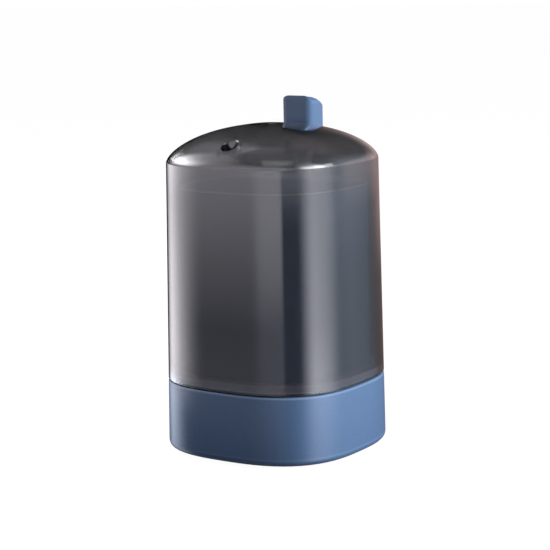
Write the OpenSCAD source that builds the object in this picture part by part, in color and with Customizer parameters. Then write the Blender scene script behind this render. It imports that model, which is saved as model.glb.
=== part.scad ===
// Press-to-lift toothpick holder: a drafted base, a lift-off dome cover, a standing toothpick
// bin, and a rocker that turns the press of the rear button into the rise of the front pusher.
// Millimetres, +Z up, -Y is the front. The origin is the middle of the plane it rests on.

/* [Body] */
// Width of the body at the seam, the same from side to side and from front to back
body_w = 60; // [56:1:72]
// Squareness of the plan: 2 is a circle, more is squarer
plan_power = 2.73; // [2.4:0.01:3.2]
// Draft of the outside walls in degrees
draft_angle = 0.85; // [0.3:0.05:1.2]
// Height of the cover's straight wall, from the seam to the start of the dome
cover_h = 64.9; // [62:0.1:72]
// Height of the dome above its start
dome_h = 10.9; // [10:0.1:14]
// Bulge of the dome across: 2 is an ellipse, more is fuller
dome_power_across = 2.12; // [1.9:0.01:2.5]
// Bulge of the dome upwards: 2 is an ellipse, less is flatter towards the top
dome_power_up = 1.61; // [1.5:0.01:1.9]

/* [Base] */
// Wall of the base at the seam
base_wall = 2; // [1.6:0.1:2.4]
// Thickness of the deck that carries the bin
deck_t = 1.8; // [1.4:0.1:2.4]
// Length of the push rod's guide under the deck
deck_guide_h = 2.1; // [0.6:0.1:3]
// Height of the base's lower edge above the ground
rim_z = 0.8; // [0.5:0.1:1]
// Round along the base's lower edge
base_round = 2; // [1:0.1:2.4]
// Round along the base's top edge
seam_round = 0.6; // [0.3:0.1:1]
// Thickness of the bottom plate
plate_t = 1.5; // [1.2:0.1:1.6]
// Diameter of a rubber foot
foot_d = 9; // [7:0.5:10]
// Place of a foot along X and along Y, as a share of the base's inner half width
foot_share = 0.6; // [0.58:0.01:0.62]
// Place of a base screw along X, as a share of the base's inner half width
screw_x_share = 0.73; // [0.7:0.01:0.76]
// Place of a base screw along Y, as a share of the base's inner half width
screw_y_share = 0.29; // [0.25:0.01:0.3]

/* [Cover] */
// Wall of the cover
cover_wall = 1.6; // [1.2:0.1:2]
// Gap between the cover's lower edge and the base
seam_gap = 0.25; // [0.15:0.05:0.5]
// Diameter of the hole that a toothpick comes out of
exit_d = 5; // [4.4:0.1:5.6]
// Height of the guide tube under the hole, measured on the hole's centre line
exit_guide_h = 3.6; // [3:0.1:4.4]

/* [Bin] */
// Space between the seam width and the bin, on each side
bin_inset = 4.4; // [4:0.1:5]
// Distance of the bin's top edge below the start of the dome
bin_drop = 7; // [5:0.1:12]
// Wall of the bin
bin_wall = 1.4; // [1.1:0.1:1.6]
// Height of the flange that the cover slides over
flange_h = 3; // [2.4:0.1:4]
// Thickness of the bin's floor over the pusher
bin_floor_t = 1.9; // [1.7:0.1:2.4]
// Fall of the bin's floor towards the pusher in degrees
floor_fall = 2.5; // [1.5:0.1:3]
// Diameter of a toothpick
pick_d = 2.1; // [1.8:0.1:2.3]
// Distance of the standing toothpick from the inside of the bin's front wall
pick_inset = 1.8; // [1.6:0.1:2.2]

/* [Mechanism] */
// Travel of the button
button_stroke = 6.5; // [5.5:0.1:6.6]
// Travel of the pusher for each millimetre of the button
lever_ratio = 1.7; // [1.5:0.05:1.7]
// Distance of the push rod from the inside of the bin's rear wall
rod_inset = 6.7; // [6.4:0.1:7.4]
// Width of the button from side to side
button_w = 10.4; // [9.2:0.1:11]
// Depth of the button from front to back
button_depth = 8.8; // [8:0.1:9]
// Height of the button's top above the top of the dome, at rest
button_rise = 7.2; // [6.8:0.1:12]
// Room left between the pressed button and the cap of the rod shaft
press_room = 2.4; // [1.8:0.1:3.2]
// Length of the roll at the button's top back edge
button_roll_l = 7.9; // [4:0.1:8]
// Fall of the roll at the button's top back edge
button_roll_h = 6.6; // [2:0.1:7]
// Radius of the round along the button's top side edges
button_side_round = 2.6; // [1:0.1:4]
// Diameter of the push rod
rod_d = 5; // [4.4:0.1:5.2]
// Diameter of the return spring's wire
wire_d = 0.8; // [0.6:0.05:0.9]
// Length of the return spring at rest
spring_l = 20; // [17:0.5:26]
// Turns of the return spring
spring_turns = 8; // [6:1:9]
// Diameter of the rocker's pivot pin
pivot_d = 2; // [1.6:0.1:2.2]
// Diameter of the two link pins
link_d = 1.6; // [1.4:0.1:1.7]

/* [Hidden] */
$fn = 48;

// Counts: points round the plan, rings up the dome, rings round an edge, steps round a corner
SIDES = 72;
DOME_RINGS = 12;
EDGE_RINGS = 5;
CORNER_STEPS = 6;
BACK_STEPS = 10;
COIL_RINGS = 8;
WIRE_SIDES = 6;

// Clearances
over = 1;          // overrun of every cut
seat_gap = 0.05;   // pieces of one body that sit in each other
run_gap = 0.08;    // shafts and pins that turn or slide
slide_gap = 0.25;  // flat sides that pass each other
free_gap = 0.35;   // moving pieces that never touch

// Half widths and heights that the pieces share
half_w = body_w / 2;
draft_slope = tan(draft_angle);
base_inner = half_w - base_wall;
bin_outer = half_w - bin_inset;
bin_inner = bin_outer - bin_wall;
flange_outer = half_w - cover_wall - slide_gap;
plate_z = rim_z + slide_gap;
plate_top_z = plate_z + plate_t;
exit_y = bin_inner - pick_inset;
rod_y = bin_inner - rod_inset;
rod_r = rod_d / 2;

// Rocker linkage: the two arms share the span in the ratio of the two travels
span = exit_y + rod_y;
rod_arm = span / (1 + lever_ratio);
pusher_arm = span - rod_arm;
pivot_y = rod_y - rod_arm;
pusher_stroke = button_stroke * lever_ratio;
lever_tilt = atan(button_stroke / 2 / rod_arm);
pusher_tip_wall = 1;
rod_tip_wall = 1.2;
pusher_tip_r = link_d / 2 + pusher_tip_wall;
rod_tip_r = link_d / 2 + rod_tip_wall;
pusher_pin_z = plate_top_z + free_gap + pusher_tip_r;
pivot_z = pusher_pin_z + pusher_stroke / 2;
rod_pin_z = pivot_z + button_stroke / 2;
slot_play = 0.1;

// Rocker body
lever_t = 3;
lever_web_t = 1.4;
lever_flange_h = 0.7;
hub_wall = 1.8;
hub_r = pivot_d / 2 + hub_wall;
hub_w = 6.8;
arm_root_h = 4.4;
arm_tip_share = 0.78;
ear_t = 1.8;
ear_r = hub_r + slide_gap;
ear_neck_share = 0.85;
ear_x = hub_w / 2 + slide_gap;

// Forks at the foot of the rod and of the pusher
cheek_t = 1.25;
cheek_step = 0.15;
fork_x = lever_t / 2 + slide_gap;
fork_half_w = fork_x + cheek_t;
bridge_t = 1.4;
pusher_bridge_z = pusher_pin_z + pusher_tip_r + free_gap;
rod_bridge_z = rod_pin_z + rod_tip_r + free_gap;
pusher_d = pick_d + 0.3;
pusher_sink = 0.3;
cup_rim = 0.25;
cup_depth = 0.4;

// Heights from the deck upwards, carried by the linkage and its guides
rod_boss_z = rod_bridge_z + bridge_t + free_gap;
deck_under_z = rod_boss_z + deck_guide_h;
seam_z = deck_under_z + deck_t;
cover_z = seam_z + seam_gap;
flange_top_z = seam_z + flange_h;
floor_z = seam_z + bin_floor_t;
dome_z = seam_z + cover_h;
dome_top_z = dome_z + dome_h;
bin_top_z = dome_z - bin_drop;

// Guides of the pusher and of the rod
guide_wall = 1.2;
pusher_guide_r = pusher_d / 2 + run_gap;
pusher_boss_r = pusher_guide_r + guide_wall;
pusher_boss_z = pusher_bridge_z + bridge_t + pusher_stroke + free_gap;
rod_guide_r = rod_r + run_gap;
rod_boss_r = rod_guide_r + guide_wall;
pusher_top_z = floor_z - pusher_sink;

// Button, return spring and its clip
button_z = bin_top_z + button_stroke + press_room;
button_h = dome_top_z + button_rise - button_z;
button_edge_round = 2.1;
button_front_round = 0.8;
button_crown = 0.3;
socket_depth = 11;
rod_top_z = button_z + socket_depth - seat_gap;
coil_r = rod_r + slide_gap + free_gap + wire_d;
spring_z = floor_z + seat_gap;
clip_t = 0.7;
clip_z = spring_z + spring_l + seat_gap;
clip_bite = 0.5;
clip_r = coil_r + wire_d / 2 + slide_gap;
clip_mouth = 3.4;

// Rooms in the bin
shaft_room = 0.8;
partition_back_y = rod_y - clip_r - shaft_room;
partition_front_y = partition_back_y - bin_wall;
cap_t = 1.5;
cap_z = bin_top_z - cap_t;
cap_sleeve_h = 4;
column_x_share = 0.58;
column_x = bin_inner * column_x_share;
column_r = 2.8;
column_inset = 4.7;
column_y = bin_inner - column_inset;
front_screw_x_share = 0.5;
front_screw_x = bin_inner * front_screw_x_share;
front_screw_inset = 8.2;
front_screw_y = bin_inner - front_screw_inset;
floor_skin_t = 1.5;
core_front_inset = 11;
core_rim = 1.2;
channel_play = 0.25;
channel_half = pick_d / 2 + channel_play;
channel_rib_t = 1.2;
channel_lip = 0.6;
channel_top_drop = 4;
channel_slope_h = 6;
channel_root = 0.6;

// Screws
tap_shank_r = 1.1;
tap_head_r = 2.1;
tap_head_h = 1.3;
case_shank_r = 1.25;
case_head_r = 2.3;
case_head_h = 1.3;
screw_bevel = 0.3;
pin_bevel_share = 0.2;
drive_w = 0.5;
drive_depth = 0.6;
drive_l_share = 0.62;
tap_bite = 2;
column_bite = 8;
case_bite = 9;

// Bosses and pads of the base
boss_wall = 1.75;
case_boss_r = case_shank_r + boss_wall;
pad_h = 1.5;
pad_wall = 1.2;
foot_recess = 0.9;
foot_bevel = 0.5;
gusset_t = 1.2;
gusset_h = 10;
screw_x = base_inner * screw_x_share;
screw_y = base_inner * screw_y_share;
foot_place = base_inner * foot_share;

// Arc of the dome's side outline in degrees; a flat closes the rest
dome_arc = 88;

// Guide tube under the exit hole
exit_tube_wall = 1.2;
exit_lead = 0.8;

// Sprue mark in the middle of the dome
sprue_r = 1.1;
sprue_pip_r = 0.45;
sprue_depth = 0.45;
cover_edge_bevel = 0.3;

// Half width of the drafted outside wall at a height
function wall_half(z) = half_w - (z - seam_z) * draft_slope;

dome_r = wall_half(dome_z);

// Height of the dome's outside at a half width
function dome_height(half) =
    dome_z + dome_h * pow(1 - pow(half / dome_r, dome_power_across), 1 / dome_power_up);

exit_top_z = dome_height(exit_y);
exit_guide_z = exit_top_z - exit_guide_h;
exit_tilt = atan((dome_height(exit_y - exit_d / 2) - dome_height(exit_y + exit_d / 2)) / exit_d);

// Points of the plan: a circle of the given half width swollen into a rounded square
function plan_points(half) = [
    for (i = [0 : SIDES - 1])
        let (a = 360 * i / SIDES,
             swell = pow(pow(abs(cos(a)), plan_power) + pow(abs(sin(a)), plan_power), -1 / plan_power))
        half * swell * [cos(a), sin(a)]
];

// Points of a rectangle with rounded corners, centred
function rounded_points(w, depth, r) = [
    for (corner = [0 : 3], step = [0 : CORNER_STEPS])
        let (a = 90 * (corner + step / CORNER_STEPS),
             sx = corner == 0 || corner == 3 ? 1 : -1,
             sy = corner < 2 ? 1 : -1)
        [sx * (w / 2 - r) + r * cos(a), sy * (depth / 2 - r) + r * sin(a)]
];

// Rings of the dome from its start to just short of the top, drawn in by a wall
function dome_rings(wall) = [
    for (i = [0 : DOME_RINGS])
        let (t = dome_arc * i / DOME_RINGS)
        [(dome_r - wall) * pow(cos(t), 2 / dome_power_across),
         dome_z + (dome_h - wall) * pow(sin(t), 2 / dome_power_up)]
];

// Upright slab of the plan between two heights
module plan_slab(half, z0, z1) {
    translate([0, 0, z0])
        linear_extrude(z1 - z0)
            polygon(plan_points(half));
}

// Faces of a skin through rings that are given from below upwards
function skin_faces(first, rings, sides) = [
    for (k = [0 : rings - 2], i = [0 : sides - 1])
        let (a = first + k * sides, j = (i + 1) % sides)
        [a + i, a + sides + i, a + sides + j, a + j]
];
function turned(faces) = [for (f = faces) [for (i = [len(f) - 1 : -1 : 0]) f[i]]];
function halved(faces) = [for (f = faces, half = [[f[0], f[1], f[2]], [f[0], f[2], f[3]]]) half];
function ring_face(first, sides) = [for (i = [0 : sides - 1]) first + i];
function ring_points(rings) = [
    for (ring = rings, p = plan_points(ring[0]))
        [p[0], p[1], ring[1]]
];

// Closed solid through plan rings, each a [half width, height]
module plan_loft(rings) {
    last = (len(rings) - 1) * SIDES;
    polyhedron(
        ring_points(rings),
        concat([ring_face(0, SIDES)], skin_faces(0, len(rings), SIDES), turned([ring_face(last, SIDES)])));
}

// Open-bottomed shell between two sets of plan rings
module plan_shell(outside, inside) {
    n = len(outside) * SIDES;
    total = n + len(inside) * SIDES;
    lower_edge = [
        for (i = [0 : SIDES - 1])
            let (j = (i + 1) % SIDES)
            [n + i, i, j, n + j]
    ];
    polyhedron(
        concat(ring_points(outside), ring_points(inside)),
        concat(
            skin_faces(0, len(outside), SIDES),
            turned([ring_face(n - SIDES, SIDES)]),
            turned(skin_faces(n, len(inside), SIDES)),
            [ring_face(total - SIDES, SIDES)],
            lower_edge));
}

// Cylinder along X, centred
module cross_cylinder(r, l) {
    rotate([0, 90, 0])
        cylinder(r = r, h = l, center = true);
}

// Steel pin along X with broken ends
module cross_pin(r, l) {
    bevel = r * pin_bevel_share;
    rotate([0, 90, 0])
        translate([0, 0, -l / 2])
            rotate_extrude()
                polygon([[0, 0], [r - bevel, 0], [r, bevel], [r, l - bevel], [r - bevel, l], [0, l]]);
}

// Cross-headed screw that points up, the face of its head at z = 0
module screw(head_r, head_h, shank_r, l) {
    tip = shank_r;
    difference() {
        rotate_extrude()
            polygon([[0, 0], [head_r - screw_bevel, 0], [head_r, screw_bevel], [head_r, head_h],
                [shank_r, head_h], [shank_r, l - tip], [shank_r / 2, l], [0, l]]);
        for (a = [0, 90])
            rotate([0, 0, a])
                translate([-head_r * drive_l_share, -drive_w / 2, -over])
                    cube([2 * head_r * drive_l_share, drive_w, over + drive_depth]);
    }
}

// The four places of the base screws and of the feet
module at_base_screws() {
    for (sx = [-1, 1], sy = [-1, 1])
        translate([sx * screw_x, sy * screw_y, 0])
            children();
}
module at_feet() {
    for (sx = [-1, 1], sy = [-1, 1])
        translate([sx * foot_place, sy * foot_place, 0])
            children();
}
module at_bin_screws() {
    for (sx = [-1, 1]) {
        translate([sx * front_screw_x, -front_screw_y, 0])
            children();
        translate([sx * column_x, column_y, 0])
            children();
    }
}

module cover() {
    color([0.33, 0.34, 0.39, 0.5])
        difference() {
            union() {
                plan_shell(
                    concat(
                        [[wall_half(cover_z) - cover_edge_bevel, cover_z],
                         [wall_half(cover_z + cover_edge_bevel), cover_z + cover_edge_bevel]],
                        dome_rings(0)),
                    concat([[wall_half(cover_z) - cover_wall, cover_z]], dome_rings(cover_wall)));
                exit_tube();
            }
            translate([0, -exit_y, exit_guide_z - over])
                cylinder(d = exit_d, h = exit_guide_h + dome_h);
            translate([0, -exit_y, exit_guide_z])
                cylinder(r1 = exit_d / 2 + exit_lead, r2 = exit_d / 2, h = exit_lead);
            translate([0, rod_y, dome_z])
                linear_extrude(dome_h + over)
                    polygon(rounded_points(button_w + 2 * slide_gap, button_depth + 2 * slide_gap,
                        button_edge_round + slide_gap));
            translate([0, 0, dome_top_z - sprue_depth])
                difference() {
                    cylinder(r = sprue_r, h = sprue_depth + over);
                    cylinder(r = sprue_pip_r, h = sprue_depth + over);
                }
        }
}

// Guide tube under the exit hole, cut off along the dome inside its wall
module exit_tube() {
    tube_r = exit_d / 2 + exit_tube_wall;
    translate([0, -exit_y, 0])
        difference() {
            translate([0, 0, exit_guide_z])
                cylinder(r = tube_r, h = exit_guide_h + dome_h);
            translate([0, 0, exit_top_z - cover_wall / 2 / cos(exit_tilt)])
                rotate([exit_tilt, 0, 0])
                    translate([-body_w / 2, -body_w / 2, 0])
                        cube([body_w, body_w, body_w]);
        }
}

module base_shell() {
    color("steelblue")
        difference() {
            union() {
                difference() {
                    plan_loft(base_rings());
                    plan_slab(base_inner, rim_z - over, deck_under_z);
                }
                base_bosses();
                pivot_ears();
                translate([0, rod_y, rod_boss_z])
                    cylinder(r = rod_boss_r, h = seam_z - rod_boss_z - deck_t / 2);
            }
            at_base_screws()
                translate([0, 0, plate_z])
                    cylinder(r = case_shank_r + seat_gap, h = pad_h + plate_t + case_bite + seat_gap);
            at_bin_screws()
                translate([0, 0, deck_under_z - over])
                    cylinder(r = tap_shank_r + seat_gap, h = deck_t + 2 * over);
            translate([0, rod_y, rod_boss_z - over])
                cylinder(r = rod_guide_r, h = seam_z - rod_boss_z + 2 * over);
            translate([-fork_half_w - slide_gap, -exit_y - pusher_boss_r - slide_gap, deck_under_z - over])
                cube([2 * (fork_half_w + slide_gap), 2 * (pusher_boss_r + slide_gap), deck_t + 2 * over]);
        }
}

// Outside of the base: the rounded lower edge, the drafted wall and the rounded seam edge
function base_rings() = concat(
    [for (i = [0 : EDGE_RINGS])
        let (a = 90 * i / EDGE_RINGS, z = rim_z + base_round * (1 - cos(a)))
        [wall_half(z) - base_round * (1 - sin(a)), z]],
    [for (i = [0 : EDGE_RINGS])
        let (a = 90 * i / EDGE_RINGS, z = seam_z - seam_round * (1 - sin(a)))
        [wall_half(z) - seam_round * (1 - cos(a)), z]]);

// Screw bosses that hang from the deck, each with a gusset to the side wall
module base_bosses() {
    boss_z = plate_top_z + pad_h;
    for (sx = [-1, 1], sy = [-1, 1]) {
        translate([sx * screw_x, sy * screw_y, boss_z])
            cylinder(r = case_boss_r, h = deck_under_z - boss_z + deck_t / 2);
        translate([sx * (screw_x + base_inner) / 2, sy * screw_y, deck_under_z - gusset_h / 2])
            cube([base_inner - screw_x + base_wall / 2, gusset_t, gusset_h + deck_t / 2],
                center = true);
    }
}

// Two ears that hang from the deck and hold the pivot pin
module pivot_ears() {
    neck = ear_r * ear_neck_share;
    for (sx = [-1, 1])
        translate([sx * (ear_x + ear_t / 2), pivot_y, pivot_z])
            difference() {
                union() {
                    cross_cylinder(ear_r, ear_t);
                    translate([-ear_t / 2, -neck, 0])
                        cube([ear_t, 2 * neck, deck_under_z - pivot_z + deck_t / 2]);
                }
                cross_cylinder(pivot_d / 2 + seat_gap, ear_t + 2 * over);
            }
}

module bottom_plate() {
    foot_pad_r = foot_d / 2 + pad_wall;
    color("dimgray")
        difference() {
            union() {
                plan_slab(base_inner - slide_gap, plate_z, plate_top_z);
                at_base_screws()
                    translate([0, 0, plate_z])
                        cylinder(r = case_head_r + pad_wall, h = plate_t + pad_h - seat_gap);
                at_feet()
                    translate([0, 0, plate_z])
                        cylinder(r = foot_pad_r, h = plate_t + foot_recess);
            }
            at_feet()
                translate([0, 0, plate_z - over])
                    cylinder(r = foot_d / 2 + seat_gap, h = foot_recess + over);
            at_base_screws() {
                translate([0, 0, plate_z - over])
                    cylinder(r = case_head_r + slide_gap, h = case_head_h + over + slide_gap);
                translate([0, 0, plate_z])
                    cylinder(r = case_shank_r + seat_gap, h = plate_t + pad_h + over);
            }
        }
}

module foot(sx, sy) {
    h = plate_z + foot_recess - seat_gap;
    color("black")
        translate([sx * foot_place, sy * foot_place, 0])
            rotate_extrude()
                polygon([[0, 0], [foot_d / 2 - foot_bevel, 0], [foot_d / 2, foot_bevel],
                    [foot_d / 2, h], [0, h]]);
}

module base_screws() {
    color("silver")
        at_base_screws()
            translate([0, 0, plate_z + slide_gap - seat_gap])
                screw(case_head_r, case_head_h, case_shank_r,
                    plate_t + pad_h + case_bite - slide_gap);
}

module bin() {
    color("slategray")
        difference() {
            union() {
                difference() {
                    union() {
                        plan_slab(bin_outer, seam_z, bin_top_z);
                        plan_slab(flange_outer, seam_z, flange_top_z);
                    }
                    pick_room();
                    shaft_room_cut();
                    floor_core();
                    flange_groove();
                }
                pick_channel();
                bin_columns();
                translate([0, -exit_y, pusher_boss_z])
                    cylinder(r = pusher_boss_r, h = floor_z - pusher_boss_z);
            }
            translate([0, -exit_y, pusher_boss_z - over])
                cylinder(r = pusher_guide_r, h = floor_z - pusher_boss_z + 2 * over);
            translate([0, rod_y, seam_z - over])
                cylinder(r = rod_r + slide_gap, h = bin_floor_t + 2 * over);
            for (sx = [-1, 1]) {
                translate([sx * front_screw_x, -front_screw_y, seam_z - over])
                    cylinder(r = tap_shank_r + seat_gap, h = over + tap_bite + seat_gap);
                translate([sx * column_x, column_y, seam_z - over])
                    cylinder(r = tap_shank_r + seat_gap, h = over + column_bite + seat_gap);
                translate([sx * column_x, column_y, cap_z - column_bite])
                    cylinder(r = tap_shank_r + seat_gap, h = column_bite + over);
            }
        }
}

// Space above one of the two floor planes, which fall to the pusher and to the middle
module above_floor(side, drop) {
    translate([0, -exit_y, floor_z - drop])
        rotate([floor_fall, -side * floor_fall, 0])
            translate([-body_w, -body_w, 0])
                cube([2 * body_w, 2 * body_w, 2 * bin_top_z]);
}

// Room of the toothpicks, in front of the partition
module pick_room() {
    intersection() {
        plan_slab(bin_inner, seam_z, bin_top_z + over);
        translate([-half_w, -half_w, seam_z])
            cube([body_w, half_w + partition_front_y, bin_top_z]);
        above_floor(1, 0);
        above_floor(-1, 0);
    }
}

// Room of the rod and its spring, behind the partition
module shaft_room_cut() {
    intersection() {
        plan_slab(bin_inner, floor_z, bin_top_z + over);
        translate([-half_w, partition_back_y, floor_z])
            cube([body_w, half_w, bin_top_z]);
    }
}

// Hollow under the sloping floor, which keeps the floor one skin thick
module floor_core() {
    front = -bin_inner + core_front_inset;
    difference() {
        intersection() {
            plan_slab(bin_inner - core_rim, seam_z - over, bin_top_z);
            translate([-half_w, front, seam_z - over])
                cube([body_w, partition_front_y - front, bin_top_z]);
        }
        intersection() {
            above_floor(1, floor_skin_t);
            above_floor(-1, floor_skin_t);
        }
    }
}

// Groove under the flange, between its lip and the wall of the bin
module flange_groove() {
    difference() {
        plan_slab(flange_outer - bin_wall, seam_z - over, flange_top_z - bin_wall);
        plan_slab(bin_outer, seam_z - 2 * over, flange_top_z);
    }
}

// Two ribs that leave a slot for one standing toothpick
module pick_channel() {
    back_y = -exit_y + pick_d / 2 + channel_lip;
    front_y = -bin_inner - channel_root;
    top_z = bin_top_z - channel_top_drop;
    for (sx = [-1, 1])
        translate([sx * (channel_half + channel_rib_t / 2) - channel_rib_t / 2, 0, 0])
            rotate([90, 0, 90])
                linear_extrude(channel_rib_t)
                    polygon([[front_y, floor_z - channel_root], [back_y, floor_z - channel_root],
                        [back_y, top_z - channel_slope_h], [front_y, top_z]]);
}

// Columns in the rear corners, tapped at both ends
module bin_columns() {
    for (sx = [-1, 1])
        translate([sx * column_x, column_y, floor_z - bin_floor_t / 2])
            cylinder(r = column_r, h = cap_z - floor_z + bin_floor_t / 2);
}

module bin_screws() {
    color("silver")
        for (sx = [-1, 1]) {
            translate([sx * front_screw_x, -front_screw_y, deck_under_z - tap_head_h])
                screw(tap_head_r, tap_head_h, tap_shank_r, tap_head_h + deck_t + tap_bite);
            translate([sx * column_x, column_y, deck_under_z - tap_head_h])
                screw(tap_head_r, tap_head_h, tap_shank_r, tap_head_h + deck_t + column_bite);
        }
}

module shaft_cap() {
    color("lightslategray")
        difference() {
            union() {
                intersection() {
                    plan_slab(bin_inner - 2 * seat_gap, cap_z, bin_top_z);
                    translate([-half_w, partition_back_y + 2 * seat_gap, 0])
                        cube([body_w, half_w, bin_top_z + over]);
                }
                translate([0, rod_y, cap_z - cap_sleeve_h])
                    cylinder(r = rod_boss_r, h = cap_sleeve_h + cap_t / 2);
            }
            translate([0, rod_y, cap_z - cap_sleeve_h - over])
                cylinder(r = rod_guide_r, h = cap_sleeve_h + cap_t + 2 * over);
            for (sx = [-1, 1])
                translate([sx * column_x, column_y, cap_z - over])
                    cylinder(r = tap_shank_r + seat_gap, h = cap_t + 2 * over);
        }
}

module cap_screws() {
    color("silver")
        for (sx = [-1, 1])
            translate([sx * column_x, column_y, bin_top_z + tap_head_h])
                rotate([180, 0, 0])
                    screw(tap_head_r, tap_head_h, tap_shank_r,
                        tap_head_h + cap_t + column_bite - seat_gap);
}

// Side outline of the button: a small round at the front, a long roll down to the back
function button_outline() =
    let (front = -button_depth / 2, back = button_depth / 2,
         fr = button_front_round, roll_h = button_h - button_crown,
         roll_l = min(button_roll_l, button_depth - fr))
    concat(
        [[front, 0], [back, 0]],
        [for (i = [0 : BACK_STEPS])
            let (a = 90 * i / BACK_STEPS)
            [back - roll_l * (1 - cos(a)), roll_h - button_roll_h * (1 - sin(a))]],
        [for (i = [0 : CORNER_STEPS])
            let (a = 90 + 90 * i / CORNER_STEPS)
            [front + fr + fr * cos(a), button_h - fr + fr * sin(a)]]);

// Front outline of the button: upright sides with a round at both top edges
function button_front() =
    let (half = button_w / 2, sr = button_side_round)
    concat(
        [[-half, 0], [half, 0]],
        [for (i = [0 : 2 * CORNER_STEPS + 1])
            let (right = i <= CORNER_STEPS, a = 90 * (right ? i : i - 1) / CORNER_STEPS)
            [(right ? half - sr : sr - half) + sr * cos(a), button_h - sr + sr * sin(a)]]);

module button() {
    color("steelblue")
        translate([0, rod_y, button_z])
            difference() {
                intersection() {
                    translate([-button_w / 2, 0, 0])
                        rotate([90, 0, 90])
                            linear_extrude(button_w)
                                polygon(button_outline());
                    translate([0, button_depth / 2 + over, 0])
                        rotate([90, 0, 0])
                            linear_extrude(button_depth + 2 * over)
                                polygon(button_front());
                    translate([0, 0, -over])
                        linear_extrude(button_h + 2 * over)
                            polygon(rounded_points(button_w, button_depth, button_edge_round));
                }
                translate([0, 0, -over])
                    cylinder(r = rod_r + seat_gap, h = over + socket_depth);
            }
}

// Fork with a bridge on top, round its pin at the origin
module fork(cheek_r, bridge_up, bridge_half) {
    cheek_half = cheek_r - cheek_step;
    difference() {
        union() {
            for (sx = [-1, 1])
                translate([sx * (fork_x + cheek_t / 2), 0, 0]) {
                    cross_cylinder(cheek_r, cheek_t);
                    translate([-cheek_t / 2, -cheek_half, 0])
                        cube([cheek_t, 2 * cheek_half, bridge_up + bridge_t / 2]);
                }
            translate([-fork_half_w, -bridge_half, bridge_up])
                cube([2 * fork_half_w, 2 * bridge_half, bridge_t]);
        }
        cross_cylinder(link_d / 2 + seat_gap, 2 * fork_half_w + 2 * over);
    }
}

module push_rod() {
    groove_z = clip_z - seat_gap;
    groove_top_z = clip_z + clip_t + seat_gap;
    groove_r = rod_r - clip_bite;
    foot_z = rod_bridge_z + bridge_t / 2;
    bevel = clip_bite;
    color("gainsboro")
        translate([0, rod_y, 0]) {
            rotate_extrude()
                polygon([[0, foot_z], [rod_r, foot_z], [rod_r, groove_z], [groove_r, groove_z],
                    [groove_r, groove_top_z], [rod_r, groove_top_z], [rod_r, rod_top_z - bevel],
                    [rod_r - bevel, rod_top_z], [0, rod_top_z]]);
            translate([0, 0, rod_pin_z])
                fork(rod_tip_r, rod_bridge_z - rod_pin_z, rod_r + cheek_step);
        }
}

// Open ring that snaps into the rod's groove and carries the spring's upper end
module spring_clip() {
    color("silver")
        translate([0, rod_y, clip_z])
            difference() {
                cylinder(r = clip_r, h = clip_t);
                translate([0, 0, -over])
                    cylinder(r = rod_r - clip_bite + seat_gap, h = clip_t + 2 * over);
                translate([-clip_mouth / 2, -clip_r - over, -over])
                    cube([clip_mouth, clip_r + over, clip_t + 2 * over]);
            }
}

// Ring of points round the spring's wire at ring number k, from the coil's formula
spring_pitch = (spring_l - wire_d) / spring_turns;
spring_lead = atan(spring_pitch / (2 * PI * coil_r));
function wire_ring(k) =
    let (a = 360 * k / COIL_RINGS,
         radial = [cos(a), sin(a), 0],
         across = [-sin(spring_lead) * sin(a), sin(spring_lead) * cos(a), -cos(spring_lead)],
         middle = coil_r * radial + [0, 0, wire_d / 2 + spring_pitch * k / COIL_RINGS])
    [for (i = [0 : WIRE_SIDES - 1])
        let (b = 360 * i / WIRE_SIDES)
        middle + wire_d / 2 * (cos(b) * radial + sin(b) * across)];

module return_spring() {
    last = spring_turns * COIL_RINGS;
    rings = [for (k = [0 : last]) wire_ring(k)];
    gap = min([
        for (k = [0 : last - COIL_RINGS], p = rings[k], q = rings[k + COIL_RINGS])
            norm(p - q)
    ]);
    echo("Least gap between the spring's turns", gap);
    color("silver")
        translate([0, rod_y, spring_z])
            polyhedron(
                [for (ring = rings, p = ring) p],
                concat(
                    [ring_face(0, WIRE_SIDES)],
                    halved(skin_faces(0, last + 1, WIRE_SIDES)),
                    turned([ring_face(last * WIRE_SIDES, WIRE_SIDES)])));
}

// Side outline of one arm, from the hub to its tip, with the flanges drawn in
function arm_outline(l, tip_h, inset) =
    let (start = inset > 0 ? hub_r : 0, end = inset > 0 ? l - tip_h : l,
         root = arm_root_h / 2 - inset, tip = tip_h / 2 - inset)
    [[start, -root], [end, -tip], [end, tip], [start, root]];

// One arm of the rocker along +Y: a flanged bar with a slotted tip
module lever_arm(l, tip_r) {
    tip_h = 2 * tip_r * arm_tip_share;
    reach = l / cos(lever_tilt);
    middle = (l + reach) / 2;
    pocket = (lever_t - lever_web_t) / 2;
    slot_half = link_d / 2 + slot_play;
    difference() {
        union() {
            translate([-lever_t / 2, 0, 0])
                rotate([90, 0, 90])
                    linear_extrude(lever_t)
                        polygon(arm_outline(middle, tip_h, 0));
            translate([0, middle, 0])
                cross_cylinder(tip_r, lever_t);
        }
        for (x = [-lever_t / 2 - over, lever_web_t / 2])
            translate([x, 0, 0])
                rotate([90, 0, 90])
                    linear_extrude(pocket + over)
                        polygon(arm_outline(middle, tip_h, lever_flange_h));
        translate([-lever_t / 2 - over, l - slot_half, -slot_half])
            cube([lever_t + 2 * over, reach - l + 2 * slot_half, 2 * slot_half]);
    }
}

module rocker_lever() {
    color("whitesmoke")
        translate([0, pivot_y, pivot_z])
            rotate([lever_tilt, 0, 0])
                difference() {
                    union() {
                        lever_arm(rod_arm, rod_tip_r);
                        rotate([0, 0, 180])
                            lever_arm(pusher_arm, pusher_tip_r);
                        cross_cylinder(hub_r, hub_w);
                    }
                    cross_cylinder(pivot_d / 2 + run_gap, hub_w + 2 * over);
                }
}

module pivot_pin() {
    color("silver")
        translate([0, pivot_y, pivot_z])
            cross_pin(pivot_d / 2, 2 * (ear_x + ear_t));
}

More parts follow.
